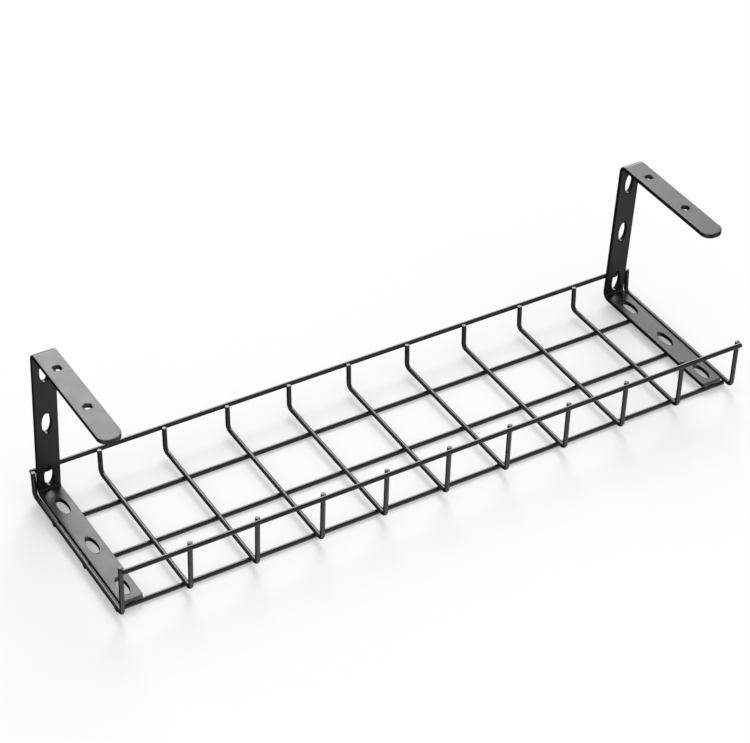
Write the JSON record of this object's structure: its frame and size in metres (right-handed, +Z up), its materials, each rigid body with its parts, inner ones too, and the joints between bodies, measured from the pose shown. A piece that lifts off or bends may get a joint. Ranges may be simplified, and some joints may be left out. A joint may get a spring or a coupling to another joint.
{
  "type": "under-desk cable tray",
  "caption": "Welded wire basket cable tray on two C-shaped strip brackets that screw to the underside of a desk.",
  "frame": {"origin": "centre of the bounding box, on the plane that the floor wires stand on", "axes": "+X along the tray's length, -Y towards the tall front wall, +Z up to the desk"},
  "size_m": [0.433, 0.1228, 0.1091],
  "materials": {
    "wire_coat": "satin black powder coat on steel wire",
    "bracket_coat": "satin black powder coat on steel strip"
  },
  "bodies": {
    "root": {"cross_wire_01": "wire_coat", "cross_wire_02": "wire_coat", "cross_wire_03": "wire_coat", "cross_wire_04": "wire_coat", "cross_wire_05": "wire_coat", "cross_wire_06": "wire_coat", "cross_wire_07": "wire_coat", "cross_wire_08": "wire_coat", "cross_wire_09": "wire_coat", "cross_wire_10": "wire_coat", "cross_wire_11": "wire_coat", "floor_wire_front": "wire_coat", "floor_wire_middle": "wire_coat", "floor_wire_back": "wire_coat", "rim_wire_front": "wire_coat", "rim_wire_back": "wire_coat", "bracket_left": "bracket_coat", "bracket_right": "bracket_coat"}
  },
  "joints": []
}
